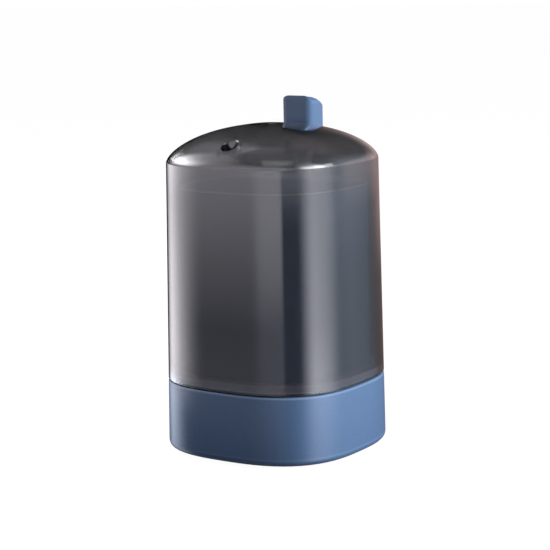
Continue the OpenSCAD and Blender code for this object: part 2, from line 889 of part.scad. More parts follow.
module link_pin(y, z) {
    color("silver")
        translate([0, y, z])
            cross_pin(link_d / 2, 2 * fork_half_w);
}

module pusher() {
    stem_z = pusher_bridge_z + bridge_t / 2;
    stem_r = pusher_d / 2;
    color("gainsboro")
        translate([0, -exit_y, 0]) {
            rotate_extrude()
                polygon([[0, stem_z], [stem_r, stem_z], [stem_r, pusher_top_z],
                    [stem_r - cup_rim, pusher_top_z], [0, pusher_top_z - cup_depth]]);
            translate([0, 0, pusher_pin_z])
                fork(pusher_tip_r, pusher_bridge_z - pusher_pin_z, pusher_tip_r);
        }
}

cover();
base_shell();
bottom_plate();
foot(-1, -1);  // foot_front_left
foot(1, -1);  // foot_front_right
foot(-1, 1);  // foot_rear_left
foot(1, 1);  // foot_rear_right
base_screws();
bin();
bin_screws();
shaft_cap();
cap_screws();
button();
push_rod();
spring_clip();
return_spring();
rocker_lever();
pivot_pin();
link_pin(rod_y, rod_pin_z);  // rod_link_pin
pusher();
link_pin(-exit_y, pusher_pin_z);  // pusher_link_pin
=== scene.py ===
"""Looks of the toothpick holder: a smoky lift-off cover over a slate bin, on a satin blue base with
a blue button. Lengths are worked out in millimetres, as in the part's source, and put into the
meshes in metres."""
import math
import bmesh
import bpy
import numpy as np
from mathutils import Matrix, Vector


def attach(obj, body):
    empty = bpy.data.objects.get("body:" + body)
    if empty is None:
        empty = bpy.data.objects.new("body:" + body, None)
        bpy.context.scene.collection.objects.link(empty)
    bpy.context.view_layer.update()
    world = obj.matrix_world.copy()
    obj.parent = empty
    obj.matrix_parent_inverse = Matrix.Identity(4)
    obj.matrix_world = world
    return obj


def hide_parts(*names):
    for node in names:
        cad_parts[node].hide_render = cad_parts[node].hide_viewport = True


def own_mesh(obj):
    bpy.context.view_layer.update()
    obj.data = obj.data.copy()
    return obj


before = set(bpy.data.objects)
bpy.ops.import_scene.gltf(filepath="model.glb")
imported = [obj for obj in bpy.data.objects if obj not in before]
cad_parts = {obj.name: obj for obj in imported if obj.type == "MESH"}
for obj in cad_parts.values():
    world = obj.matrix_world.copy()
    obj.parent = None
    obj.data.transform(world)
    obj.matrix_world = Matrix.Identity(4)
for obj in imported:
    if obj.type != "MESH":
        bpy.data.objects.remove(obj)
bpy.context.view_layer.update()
MM = 0.001

# Sizes shared with the part's source, in millimetres
PLAN_POWER = 2.73
HALF_W = 30.0
DRAFT = math.tan(math.radians(0.85))
SEAM_Z = 21.475
BASE_ROUND_Z = 2.9
FLANGE_TOP = 24.475
BIN_TOP = 79.375
COVER_Z = 21.725
COVER_EDGE, COVER_INNER_EDGE = 0.3, 0.15
WALL = 1.6
DOME_Z = 86.375
DOME_H = 10.9
DOME_R = HALF_W - (DOME_Z - SEAM_Z) * DRAFT
POWER_ACROSS = 2.12
POWER_UP = 1.61
EXIT_Y = -22.4
EXIT_R = 2.5
EXIT_LEAD = 0.8
EXIT_LIP = 0.3
TUBE_WALL = 1.2
TUBE_DEPTH = 3.6
SPRUE_R, PIP_R, SPRUE_DEPTH = 1.1, 0.45, 0.45
ROD_Y = 17.5
ROD_R = 2.5
BUTTON = (10.4, 8.8)
BUTTON_Z = 88.275
BUTTON_TOP = 104.475
BUTTON_CORNER = 2.1
SLOT_GAP = 0.25
SLOT_LIP = 0.25

# Grid of the cover: columns round it, rows up its wall above the lower edge, the shares of the way
# between the edge of a block of cells and a hole's outline, and where the dome's rings stop
COVER_COLS = 288
COVER_TURN = np.arange(COVER_COLS) / COVER_COLS * 2 * np.pi
WALL_ROWS = np.array([0.5, 1.2, 2.4, 4.5, 8, 13, 19, 26, 33, 40, 47, 53, 58, 61.5, 63.6])
BLOCK_SHARES = np.linspace(0, 1, 7)
POLE_R = 2.6


# ---------------------------------------------------------------- surfaces

def wall_half(z):
    """Half width of the drafted outside wall: the seam's, less the draft times the height."""
    return HALF_W - (z - SEAM_Z) * DRAFT


def plan_ring(angle, half, power=PLAN_POWER):
    """Rounded square: a circle of radius half, swollen by (|cos|^p + |sin|^p)^(-1/p)."""
    swell = (np.abs(np.cos(angle)) ** power + np.abs(np.sin(angle)) ** power) ** (-1 / power)
    return half * swell * np.cos(angle), half * swell * np.sin(angle)


def dome_at(x, y, wall=0.0):
    """Height of the dome over x, y: the start plus H (1 - (half / R)^a)^(1 / b), where half is the
    rounded square's own half width through the point, and R and H are drawn in by the wall."""
    half = (np.abs(x) ** PLAN_POWER + np.abs(y) ** PLAN_POWER) ** (1 / PLAN_POWER)
    share = np.clip(half / (DOME_R - wall), 0, 1)
    return DOME_Z + (DOME_H - wall) * (1 - share ** POWER_ACROSS) ** (1 / POWER_UP)


def rounded_box_ring(angle, a, b, r):
    """Point of a rounded rectangle of half sides a, b and corner radius r, in the direction of each
    angle: the nearer side's hit, or the corner circle's where that lies past the corner's
    centre."""
    tiny = 1e-9
    dx, dy = np.abs(np.cos(angle)), np.abs(np.sin(angle))
    t = np.minimum(a / np.maximum(dx, tiny), b / np.maximum(dy, tiny))
    cx, cy = a - r, b - r
    along = dx * cx + dy * cy
    corner = along + np.sqrt(np.maximum(along ** 2 - cx ** 2 - cy ** 2 + r ** 2, 0))
    t = np.where((t * dx > cx) & (t * dy > cy), corner, t)
    return t * np.cos(angle), t * np.sin(angle)


def smooth_step(share):
    """Eased share of the way from 0 to 1, level at both ends: 3 s^2 - 2 s^3."""
    s = np.clip(share, 0, 1)
    return s * s * (3 - 2 * s)


def stack(*xyz):
    """One array of points from arrays of x, y and z, spread to the same shape."""
    return np.stack(np.broadcast_arrays(*xyz), axis=-1).astype(float)


def grid_faces(rows, cols, wrap, keep=None):
    """Quads of a grid of points; wrap joins the last column to the first, keep masks the cells."""
    r = np.arange(rows - 1)[:, None]
    c = np.arange(cols if wrap else cols - 1)[None, :]
    n = (c + 1) % cols
    corners = r * cols + c, r * cols + n, (r + 1) * cols + n, (r + 1) * cols + c
    quads = np.stack(np.broadcast_arrays(*corners), axis=-1)
    return quads[keep] if keep is not None else quads.reshape(-1, 4)


def piece(name, patches, body, nodes, material, sharp=40):
    """A mesh object from patches, each (points on a grid, wrap, cells kept). Patches meet where
    their points are the same, and are welded there. Normals are turned outwards."""
    points, faces, first = [], [], 0
    for grid, wrap, keep in patches:
        rows, cols = grid.shape[:2]
        points.append(grid.reshape(-1, 3))
        faces.append(grid_faces(rows, cols, wrap, keep) + first)
        first += rows * cols
    mesh = bpy.data.meshes.new(name)
    mesh.from_pydata((np.concatenate(points) * MM).tolist(), [], np.concatenate(faces).tolist())
    return finish_piece(name, mesh, body, nodes, material, sharp)


def finish_piece(name, mesh, body, nodes, material, sharp, turn=True):
    """Welds a mesh, smooths it up to the sharp angle, and hangs it on its body."""
    weld_reach, least_edge = 0.002 * MM, 0.0001 * MM
    work = bmesh.new()
    work.from_mesh(mesh)
    bmesh.ops.remove_doubles(work, verts=work.verts, dist=weld_reach)
    bmesh.ops.dissolve_degenerate(work, dist=least_edge, edges=work.edges)
    if turn:
        bmesh.ops.recalc_face_normals(work, faces=work.faces)
    work.to_mesh(mesh)
    work.free()
    mesh.shade_smooth()
    mesh.set_sharp_from_angle(angle=math.radians(sharp))
    mesh.materials.clear()
    mesh.materials.append(material)
    obj = bpy.data.objects.new(name, mesh)
    bpy.context.scene.collection.objects.link(obj)
    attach(obj, body)
    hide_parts(*nodes)
    return obj


def welded(node, body, material, sharp=32):
    """A copy of a CAD node's own mesh, welded and smoothed over its round faces."""
    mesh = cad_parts[node].data.copy()
    mesh.name = node + "_smooth"
    if mesh.has_custom_normals:
        mesh.attributes.remove(mesh.attributes["custom_normal"])
    return finish_piece(node + "_smooth", mesh, body, [node], material, sharp, turn=False)


# ---------------------------------------------------------------- cover

def wall_rings(inset, edge, side):
    """Rings of the wall's outside (side 1) or inside (side -1, inset by the wall): the middle of
    the rim, a quarter round of radius edge, then the drafted wall up to the dome."""
    q = np.radians(np.linspace(0, 90, 6))
    rows_z = COVER_Z + edge + WALL_ROWS
    foot_half = wall_half(COVER_Z)
    halves = np.concatenate([[foot_half - WALL / 2],
                             foot_half - inset - side * edge * (1 - np.sin(q)),
                             wall_half(rows_z) - inset])
    heights = np.concatenate([[COVER_Z], COVER_Z + edge * (1 - np.cos(q)), rows_z])
    x, y = plan_ring(COVER_TURN, halves[:, None])
    return stack(x, y, heights[:, None])


def dome_rings(shares, wall):
    """Rings of the dome at shares of its half width, drawn in by the wall. Near the pole the
    rounded square turns into a circle, as the power of its plan falls to 2."""
    circle_half, blend_run = 1.5, 5.0
    halves = (shares * (DOME_R - wall))[:, None]
    power = 2 + (PLAN_POWER - 2) * smooth_step((halves - circle_half) / blend_run)
    x, y = plan_ring(COVER_TURN, halves, power)
    grid = stack(x, y, dome_at(x, y, wall))
    grid[0, :, 2] = DOME_Z
    return grid


def pole_rings(marks, wall, top):
    """Rings round the pole from (radius, depth under the dome) pairs, the dome kept under top."""
    radius, depth = np.array(marks).T
    x, y = radius[:, None] * np.cos(COVER_TURN), radius[:, None] * np.sin(COVER_TURN)
    return stack(x, y, np.minimum(dome_at(x, y, wall), top) - depth[:, None])


def block_loop(rows, cols):
    """Grid indices round a block of cells, as (row, column) pairs in order, corners once."""
    r0, r1 = rows
    c0, c1 = cols
    up = [(r, c0) for r in range(r0, r1)]
    across = [(r1, c) for c in range(c0, c1)]
    down = [(r, c1) for r in range(r1, r0, -1)]
    back = [(r0, c) for c in range(c1, c0, -1)]
    loop = np.array(up + across + down + back)
    return loop[:, 0], loop[:, 1]


def rings_between(a, b, shares, wall):
    """Rings of a patch of the dome from outline a to outline b, at shares of the way, each point
    set on the dome inside the given wall."""
    x = a[0] + (b[0] - a[0]) * shares[:, None]
    y = a[1] + (b[1] - a[1]) * shares[:, None]
    return stack(x, y, dome_at(x, y, wall))


def lip_rings(outline, lip):
    """Rings over the small round of radius lip at a hole's top. outline(grow) is the hole's
    outline, larger by grow."""
    rings = []
    for p in np.radians(np.linspace(15, 90, 6)):
        x, y = outline(lip * (1 - math.sin(p)))
        rings.append(stack(x, y, dome_at(x, y) - lip * (1 - math.cos(p)))[None])
    return rings


def bore_rings(x, y, high, low, shares):
    """Rings down a hole's straight side, at shares of the way from high to low."""
    return [stack(x, y, high + (low - high) * share)[None] for share in shares]


def exit_hole(outer, inner):
    """Rings through the exit hole, from the outer block's edge to the inner one's: the round at the
    top, the bore, the lead at its foot, and the end and the side of the tube under the dome."""
    turn = np.arctan2(outer[:, 1] - EXIT_Y, outer[:, 0])
    tube_edge = 0.12

    def outline(grow):
        """The bore's circle, larger by grow."""
        r = EXIT_R + grow
        return r * np.cos(turn), EXIT_Y + r * np.sin(turn)

    tube_z = dome_at(0.0, EXIT_Y) - TUBE_DEPTH
    x, y = outline(0.0)
    lead_z = np.minimum(tube_z + EXIT_LEAD, dome_at(x, y, WALL))
    rings = [rings_between(outer.T[:2], outline(EXIT_LIP), BLOCK_SHARES, 0.0)]
    rings += lip_rings(outline, EXIT_LIP)
    rings += bore_rings(x, y, dome_at(x, y) - EXIT_LIP, lead_z, (0.2, 0.5, 0.8, 1.0))
    tube_end = ((0.03, 0), (EXIT_LEAD, 0), (TUBE_WALL - tube_edge, 0), (TUBE_WALL, tube_edge))
    for grow, rise in tube_end:
        x, y = outline(grow)
        end_z = tube_z + max(EXIT_LEAD - grow, 0) + rise
        rings.append(stack(x, y, np.minimum(end_z, dome_at(x, y, WALL)))[None])
    x, y = outline(TUBE_WALL + 0.01)
    rings.append(stack(x, y, dome_at(x, y, WALL))[None])
    rings.append(rings_between((x, y), inner.T[:2], BLOCK_SHARES[1:], WALL))
    grid = np.concatenate(rings)
    grid[0], grid[-1] = outer, inner
    return grid


def button_slot(outer, inner):
    """Rings through the button's slot, from the outer block's edge to the inner one's: the round at
    the top and the straight side."""
    turn = np.arctan2(outer[:, 1] - ROD_Y, outer[:, 0])

    def outline(grow):
        """The slot's rounded rectangle, larger by grow on each side."""
        gap = SLOT_GAP + grow
        x, y = rounded_box_ring(turn, BUTTON[0] / 2 + gap, BUTTON[1] / 2 + gap, BUTTON_CORNER + gap)
        return x, y + ROD_Y

    x, y = outline(0.0)
    rings = [rings_between(outer.T[:2], outline(SLOT_LIP), BLOCK_SHARES, 0.0)]
    rings += lip_rings(outline, SLOT_LIP)
    rings += bore_rings(x, y, dome_at(x, y) - SLOT_LIP, dome_at(x, y, WALL), (0.35, 0.7, 1.0))
    rings.append(rings_between((x, y), inner.T[:2], BLOCK_SHARES[1:], WALL))
    grid = np.concatenate(rings)
    grid[0], grid[-1] = outer, inner
    return grid


def make_cover(material):
    """The cover's closed skin. Two polar grids, rings of the rounded square from the lower edge to
    the pole, give its outside and inside. A block of cells is left out of both round the exit hole
    and round the button's slot, and rings lead from one block's edge over a small round, down the
    hole and back to the other block's edge. At the outside's pole the sprue's mark is a ring groove
    round a low pip."""
    t = np.radians(np.concatenate([[0, 0.7], np.arange(1.6, 86, 1.35)]))
    shares = np.cos(t) ** (2 / POWER_ACROSS)
    shares = shares[shares * DOME_R > POLE_R]
    outside = np.concatenate([wall_rings(0.0, COVER_EDGE, 1), dome_rings(shares, 0.0)])
    inside = np.concatenate([wall_rings(WALL, COVER_INNER_EDGE, -1), dome_rings(shares, WALL)])
    dome_row = len(outside) - len(shares)

    def block(low_share, high_share, middle, spread):
        """Rows by share of the dome's half width, columns by degrees to each side of the middle."""
        rows = dome_row + np.array([np.argmax(shares < high_share), np.argmax(shares < low_share)])
        span = int(round(spread / 360 * COVER_COLS))
        return tuple(rows), (middle - span, middle + span)

    hole_block = block(0.62, 0.965, COVER_COLS * 3 // 4, 12.5)
    slot_block = block(0.43, 0.83, COVER_COLS // 4, 25)
    keep = np.ones((len(outside) - 1, COVER_COLS), bool)
    for rows, span in (hole_block, slot_block):
        keep[rows[0]:rows[1], span[0]:span[1]] = False
    hole_loop, slot_loop = block_loop(*hole_block), block_loop(*slot_block)
    hole = exit_hole(outside[hole_loop], inside[hole_loop])
    slot = button_slot(outside[slot_loop], inside[slot_loop])

    groove = [(SPRUE_R + 0.14, 0), (SPRUE_R + 0.05, 0.03), (SPRUE_R, 0.1), (SPRUE_R - 0.03, 0.34),
              (SPRUE_R - 0.1, SPRUE_DEPTH)]
    pip = [(PIP_R + 0.12, SPRUE_DEPTH), (PIP_R + 0.04, 0.34), (PIP_R, 0.12), (PIP_R - 0.06, 0.03),
           (PIP_R - 0.16, 0), (0, 0)]
    level = [(radius, 0) for radius in (2.3, 2.0, 1.7, 1.45)]
    outside_pole = pole_rings(level + groove + pip, 0.0, DOME_Z + DOME_H - 0.01)
    inside_pole = pole_rings([(radius, 0) for radius in (2.0, 1.2, 0.6, 0.0)], WALL, np.inf)
    outside_pole = np.concatenate([outside[-1:], outside_pole])
    inside_pole = np.concatenate([inside[-1:], inside_pole])
    patches = [(outside, True, keep), (inside, True, keep), (hole, True, None), (slot, True, None),
               (outside_pole, True, None), (inside_pole, True, None)]
    return piece("cover_skin", patches, "cover", ["cover"], material, sharp=50)


# ---------------------------------------------------------------- button and spring

def make_button(material):
    """The button: a rounded rectangle swept up under a pillow-shaped top. The top falls to the back
    in a long quarter of an ellipse, to the front in a small round and to the sides in larger ones,
    and the three falls a, b, c join as (a^5 + b^5 + c^5)^(1/5), which leaves no crease. Below,
    rings lead to the round socket of the rod."""
    cols = 176
    w, d = BUTTON
    turn = (np.arange(cols) + 0.5) / cols * 2 * np.pi
    roll_l, roll_h, front_round, side_round, crown = 7.9, 6.6, 0.8, 2.6, 0.3
    least_corner = 0.15
    socket_r, socket_depth = ROD_R + 0.05, 11

    def ring(inset):
        """The button's outline, drawn in by inset."""
        corner = max(BUTTON_CORNER - inset, least_corner)
        return rounded_box_ring(turn, w / 2 - inset, d / 2 - inset, corner)

    def quarter(run, length, height):
        """Fall of a quarter ellipse, length long and height high, at the run past its level end."""
        return height * (1 - np.sqrt(1 - np.clip(run / length, 0, 1) ** 2))

    def top_at(x, y):
        """Height of the top over x, y: a slight crown to the back, then the joined falls."""
        slope_run = d - roll_l - front_round + 0.1
        back = crown * np.clip((y + d / 2 - front_round) / slope_run, 0, 1)
        back = back + quarter(y - (d / 2 - roll_l), roll_l, roll_h)
        front = quarter(-y - (d / 2 - front_round), front_round, front_round)
        sides = quarter(np.abs(x) - (w / 2 - side_round), side_round, side_round)
        return BUTTON_TOP - (back ** 5 + front ** 5 + sides ** 5) ** 0.2

    edge_x, edge_y = ring(0.0)
    wall_h = top_at(edge_x, edge_y) - BUTTON_Z
    outer = [stack(edge_x, edge_y, BUTTON_Z + wall_h * share)
             for share in (0, 0.03, 0.3, 0.6, 0.85, 0.97, 1.0)]
    for inset in (0.015, 0.05, 0.11, 0.2, 0.32, 0.48, 0.68, 0.92, 1.2, 1.55, 1.95):
        x, y = ring(inset)
        outer.append(stack(x, y, top_at(x, y)))
    for share in (0.86, 0.72, 0.58, 0.44, 0.3, 0.16, 0.0):
        outer.append(stack(x * share, y * share, top_at(x * share, y * share)))

    cx, cy = socket_r * np.cos(turn), socket_r * np.sin(turn)
    lower = [stack(edge_x + (cx - edge_x) * share, edge_y + (cy - edge_y) * share, BUTTON_Z)
             for share in (0, 0.25, 0.6, 0.9, 1.0)]
    lower += [stack(cx, cy, BUTTON_Z + depth) for depth in (0.3, 4, 8, socket_depth)]
    lower += [stack(cx * share, cy * share, BUTTON_Z + socket_depth) for share in (0.5, 0)]
    shift = np.array([0, ROD_Y, 0])
    return piece("button_knob", [(np.stack(outer) + shift, True, None),
                                 (np.stack(lower) + shift, True, None)],
                 "plunger", ["button"], material, sharp=50)


def make_spring(material):
    """The return spring: a tube of wire carried along a helix whose pitch eases off over the first
    and last turn. Around the helix, the point is R (cos a, sin a) with the height a running
    integral of the eased pitch; round the wire, it is r (cos b along the radius + sin b across).
    Both ends are drawn in to a point. The full press shortens it from 20 mm to 13.5 mm."""
    turns, steps, sides = 8, 44, 16
    coil, wire, length, foot = 3.9, 0.4, 20.0, 23.425
    end_pitch, end_scale = 0.42, 0.7
    u = np.linspace(0, turns, turns * steps + 1)
    pitch = end_pitch + (1 - end_pitch) * np.clip(np.minimum(u, turns - u), 0, 1)
    rise = np.concatenate([[0], np.cumsum((pitch[1:] + pitch[:-1]) / 2)])
    z = foot + wire + (length - 2 * wire) * rise / rise[-1]
    a = 2 * np.pi * u
    lean = np.arctan(np.gradient(z, coil * a))
    radial = stack(np.cos(a), np.sin(a), 0)
    across = stack(-np.sin(lean) * np.sin(a), np.sin(lean) * np.cos(a), -np.cos(lean))
    middle = coil * radial + stack(0, ROD_Y, z)
    middle, radial, across = (np.concatenate([line[:1], line[:1], line, line[-1:], line[-1:]])
                              for line in (middle, radial, across))
    scale = np.concatenate([[0, end_scale], np.ones(len(u)), [end_scale, 0]])
    b = np.arange(sides) / sides * 2 * np.pi
    round_wire = (np.cos(b)[None, :, None] * radial[:, None]
                  + np.sin(b)[None, :, None] * across[:, None])
    grid = middle[:, None] + wire * scale[:, None, None] * round_wire
    coil_piece = piece("spring_coil", [(grid, True, None)], "base", ["return_spring"], material,
                       sharp=60)
    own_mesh(coil_piece)
    return coil_piece


# ---------------------------------------------------------------- node helpers

def node_in(tree, kind, inputs=(), **settings):
    """A node with its settings, and its inputs given as (socket, value or output) pairs."""
    node = tree.nodes.new(kind)
    for key, value in settings.items():
        setattr(node, key, value)
    for socket, value in inputs:
        target = node.inputs[socket]
        if isinstance(value, bpy.types.NodeSocket):
            tree.links.new(value, target)
        else:
            target.default_value = value
    return node


def maths(tree, operation, first, second, clamp=False):
    """Output of a math node on two values or outputs."""
    return node_in(tree, "ShaderNodeMath", [(0, first), (1, second)], operation=operation,
                   use_clamp=clamp).outputs[0]


def vectors(tree, operation, first, second, output=0):
    """Output of a vector math node on two vectors: 0 is its vector and 1 its value."""
    return node_in(tree, "ShaderNodeVectorMath", [(0, first), (1, second)],
                   operation=operation).outputs[output]


def mapped(tree, value, low, high, out_low=0.0, out_high=1.0):
    """A value carried from the range low to high onto the range out_low to out_high."""
    return node_in(tree, "ShaderNodeMapRange", [("Value", value), (1, low), (2, high),
                                                (3, out_low), (4, out_high)]).outputs[0]


def noise(tree, coords, scale, detail):
    """Noise over the coordinates."""
    return node_in(tree, "ShaderNodeTexNoise", [("Vector", coords), ("Scale", scale),
                                                ("Detail", detail)]).outputs[0]


def stretched(tree, coords, scale, turn=(0, 0, 0)):
    """Coordinates turned and scaled."""
    return node_in(tree, "ShaderNodeMapping", [("Vector", coords), ("Rotation", turn),
                                               ("Scale", scale)]).outputs[0]


def colour_mix(tree, share, first, second):
    """Mix of two colours by a share."""
    return node_in(tree, "ShaderNodeMix", [(0, share), (6, first), (7, second)],
                   data_type="RGBA").outputs[2]


def new_group(name, inputs, outputs):
    """An empty node group with its sockets: (name, value) in, name out. All are floats."""
    tree = bpy.data.node_groups.new(name, "ShaderNodeTree")
    for label, value in inputs:
        socket = tree.interface.new_socket(label, in_out="INPUT", socket_type="NodeSocketFloat")
        socket.default_value = value
    for label in outputs:
        tree.interface.new_socket(label, in_out="OUTPUT", socket_type="NodeSocketFloat")
    return tree, tree.nodes.new("NodeGroupInput"), tree.nodes.new("NodeGroupOutput")


def put_out(tree, leave, **results):
    """Joins results to the group's outputs of the same names."""
    for label, result in results.items():
        tree.links.new(result, leave.inputs[label])
    return tree


# ---------------------------------------------------------------- shared effects

def moulded_skin():
    """Skin of a moulded part: fine grain and slow waves give the height, faint flow marks the tone,
    and thin crossing scuffs with the grain the gloss."""
    tree, enter, leave = new_group(
        "moulded_skin", [("Grain Scale", 4000.0), ("Scuffs", 0.3), ("Tone Spread", 0.04)],
        ["Height", "Tone", "Gloss"])
    wave_scale, flow_scale, scuff_scale = 130.0, (60.0, 60.0, 16.0), (2600.0, 2600.0, 60.0)
    scuff_turns, scuff_lean, scuff_levels = (0.5, 2.2), 0.4, (0.66, 0.74)
    grain_share = 0.6
    coords = node_in(tree, "ShaderNodeTexCoord").outputs["Object"]
    grain = noise(tree, coords, enter.outputs["Grain Scale"], 2.0)
    wave = noise(tree, coords, wave_scale, 1.0)
    flow = noise(tree, stretched(tree, coords, flow_scale), 1.0, 3.0)
    lines = []
    for turn in scuff_turns:
        lie = stretched(tree, coords, scuff_scale, (turn, scuff_lean, turn))
        lines.append(mapped(tree, noise(tree, lie, 1.0, 1.0), *scuff_levels))
    scuffs = maths(tree, "MULTIPLY", maths(tree, "MAXIMUM", *lines), enter.outputs["Scuffs"])
    height = maths(tree, "ADD", wave, maths(tree, "MULTIPLY", grain, grain_share))
    tone = maths(tree, "MULTIPLY", maths(tree, "SUBTRACT", flow, 0.5), enter.outputs["Tone Spread"])
    return put_out(tree, leave, Height=maths(tree, "SUBTRACT", height, scuffs),
                   Tone=maths(tree, "ADD", tone, 1.0), Gloss=maths(tree, "ADD", grain, scuffs))


def drawn_metal():
    """Drawn steel: fine lines round the piece give the height, slow stains the tone and gloss."""
    tree, enter, leave = new_group("drawn_metal", [("Line Scale", 9000.0)],
                                   ["Height", "Tone", "Gloss"])
    line_stretch, stain_scale = (0.08, 0.08, 1.0), 300.0
    stain_levels, tones = (0.3, 0.7), (0.86, 1.06)
    coords = node_in(tree, "ShaderNodeTexCoord").outputs["Object"]
    lie = stretched(tree, coords, line_stretch)
    lines = noise(tree, lie, enter.outputs["Line Scale"], 2.0)
    stain = noise(tree, coords, stain_scale, 3.0)
    tone = mapped(tree, stain, *stain_levels, *tones)
    return put_out(tree, leave, Height=lines, Tone=tone, Gloss=stain)


def level_mask():
    """Mask of a level band: 1 between two heights, falling off softly past them. With Outside at 1
    it is kept to faces that look away from the middle."""
    tree, enter, leave = new_group(
        "level_mask", [("Low", 0.0), ("High", 1.0), ("Soft", 0.1 * MM), ("Outside", 0.0)], ["Mask"])
    looks_out = 5 * MM
    coords = node_in(tree, "ShaderNodeTexCoord")
    height = node_in(tree, "ShaderNodeSeparateXYZ", [(0, coords.outputs["Object"])]).outputs[2]
    over = maths(tree, "SUBTRACT", height, enter.outputs["Low"])
    under = maths(tree, "SUBTRACT", enter.outputs["High"], height)
    share = maths(tree, "DIVIDE", maths(tree, "MINIMUM", over, under), enter.outputs["Soft"])
    band = maths(tree, "ADD", share, 1.0, clamp=True)
    flat = vectors(tree, "MULTIPLY", coords.outputs["Object"], (1, 1, 0))
    facing = vectors(tree, "DOT_PRODUCT", flat, coords.outputs["Normal"], 1)
    outward = maths(tree, "GREATER_THAN", facing, looks_out)
    both_sides = maths(tree, "SUBTRACT", 1.0, enter.outputs["Outside"])
    kept = maths(tree, "MAXIMUM", outward, both_sides)
    return put_out(tree, leave, Mask=maths(tree, "MULTIPLY", band, kept))


def bore_mask():
    """Mask that is 1 inside an upright cylinder round x = 0 and y = Y."""
    tree, enter, leave = new_group("bore_mask", [("Y", 0.0), ("Radius", 1 * MM)], ["Mask"])
    coords = node_in(tree, "ShaderNodeTexCoord").outputs["Object"]
    flat = vectors(tree, "MULTIPLY", coords, (1, 1, 0))
    middle = node_in(tree, "ShaderNodeCombineXYZ", [(1, enter.outputs["Y"])]).outputs[0]
    away = vectors(tree, "DISTANCE", flat, middle, 1)
    return put_out(tree, leave, Mask=maths(tree, "LESS_THAN", away, enter.outputs["Radius"]))


SKIN = moulded_skin()
METAL = drawn_metal()
LEVEL = level_mask()
BORE = bore_mask()


# ---------------------------------------------------------------- finishes

def masked(tree, group, values, base, colour):
    """base with a colour laid over it by a mask group, which is given its values."""
    mask = node_in(tree, "ShaderNodeGroup", values.items(), node_tree=group)
    return colour_mix(tree, mask.outputs[0], base, colour + (1,))


def finish(name, slot, colour, group, rough, bump, values=(), bands=(), **shader):
    """A material: a plain colour times the group's tone, roughness between two values by its gloss,
    and a bump of a strength and a depth in millimetres from its height. Each band, given as (low,
    high, soft, outside, colour) in millimetres, lays its colour over a level band. Other shader
    sockets are set as they are."""
    material = bpy.data.materials.new(name)
    material["slot"] = slot
    material.use_nodes = True
    tree = material.node_tree
    principled = tree.nodes["Principled BSDF"]
    for socket, value in shader.items():
        principled.inputs[socket.replace("_", " ")].default_value = value
    skin = node_in(tree, "ShaderNodeGroup", values, node_tree=group)
    tint = vectors(tree, "MULTIPLY", colour, skin.outputs["Tone"])
    for low, high, soft, outside, band_colour in bands:
        tint = masked(tree, LEVEL, {"Low": low * MM, "High": high * MM, "Soft": soft * MM,
                                    "Outside": outside}, tint, band_colour)
    gloss_levels = (0.3, 0.8)
    gloss = mapped(tree, skin.outputs["Gloss"], *gloss_levels, *rough)
    relief = node_in(tree, "ShaderNodeBump", [("Height", skin.outputs["Height"]),
                                             ("Strength", bump[0]), ("Distance", bump[1] * MM)])
    tree.links.new(tint, principled.inputs["Base Color"])
    tree.links.new(gloss, principled.inputs["Roughness"])
    tree.links.new(relief.outputs[0], principled.inputs["Normal"])
    return material


def make_smoke():
    """Smoky clear plastic. Its tint deepens where it is seen slantwise, through more of the wall.
    The bore of the exit hole is painted shade, and the sprue's mark a painted white glint. The foot
    is paler, over the bin's flange, and ends in a painted highlight line and painted shade at the
    lower edge, in the seam's gap."""
    straight, slantwise = (0.38, 0.38, 0.395, 1), (0.05, 0.05, 0.055, 1)
    # The bore's dark is painted shade in the hole; the sprue mark's white is a painted glint.
    bore_painted_shade, sprue_painted_glint = (0.012, 0.012, 0.014), (1.0, 1.0, 1.0)
    # At the foot: a painted highlight line, and painted shade at the lower edge, in the seam's gap.
    pale_foot, painted_highlight_line, painted_seam_shade = (0.55, 0.53, 0.56), (0.8, 0.8, 0.83), (0.02, 0.02, 0.025)
    line_top, edge_top = COVER_Z + 0.75, COVER_Z + 0.4
    bore, mark = EXIT_R + 0.06, SPRUE_R + 0.1
    material = finish("smoky_shell", "smoky_clear", (1.0, 1.0, 1.0), SKIN, (0.08, 0.14),
                      (0.025, 0.03), Transmission_Weight=1.0, IOR=1.49, Coat_Weight=1.0,
                      Coat_IOR=1.9, Coat_Roughness=0.1)
    tree = material.node_tree
    principled = tree.nodes["Principled BSDF"]
    tone = principled.inputs["Base Color"].links[0].from_socket
    slant = node_in(tree, "ShaderNodeLayerWeight", [("Blend", 0.5)])
    tint = colour_mix(tree, slant.outputs["Facing"], straight, slantwise)
    # Painted shade in the bore, and a painted glint at the sprue's mark.
    tint = masked(tree, BORE, {"Y": EXIT_Y * MM, "Radius": bore * MM}, tint, bore_painted_shade)
    tint = masked(tree, BORE, {"Radius": mark * MM}, tint, sprue_painted_glint)
    # The paler foot, then a painted highlight line, then painted shade at the lower edge.
    for top, colour in ((FLANGE_TOP, pale_foot), (line_top, painted_highlight_line), (edge_top, painted_seam_shade)):
        tint = masked(tree, LEVEL, {"High": top * MM}, tint, colour)
    tree.links.new(vectors(tree, "MULTIPLY", tint, tone), principled.inputs["Base Color"])
    return material


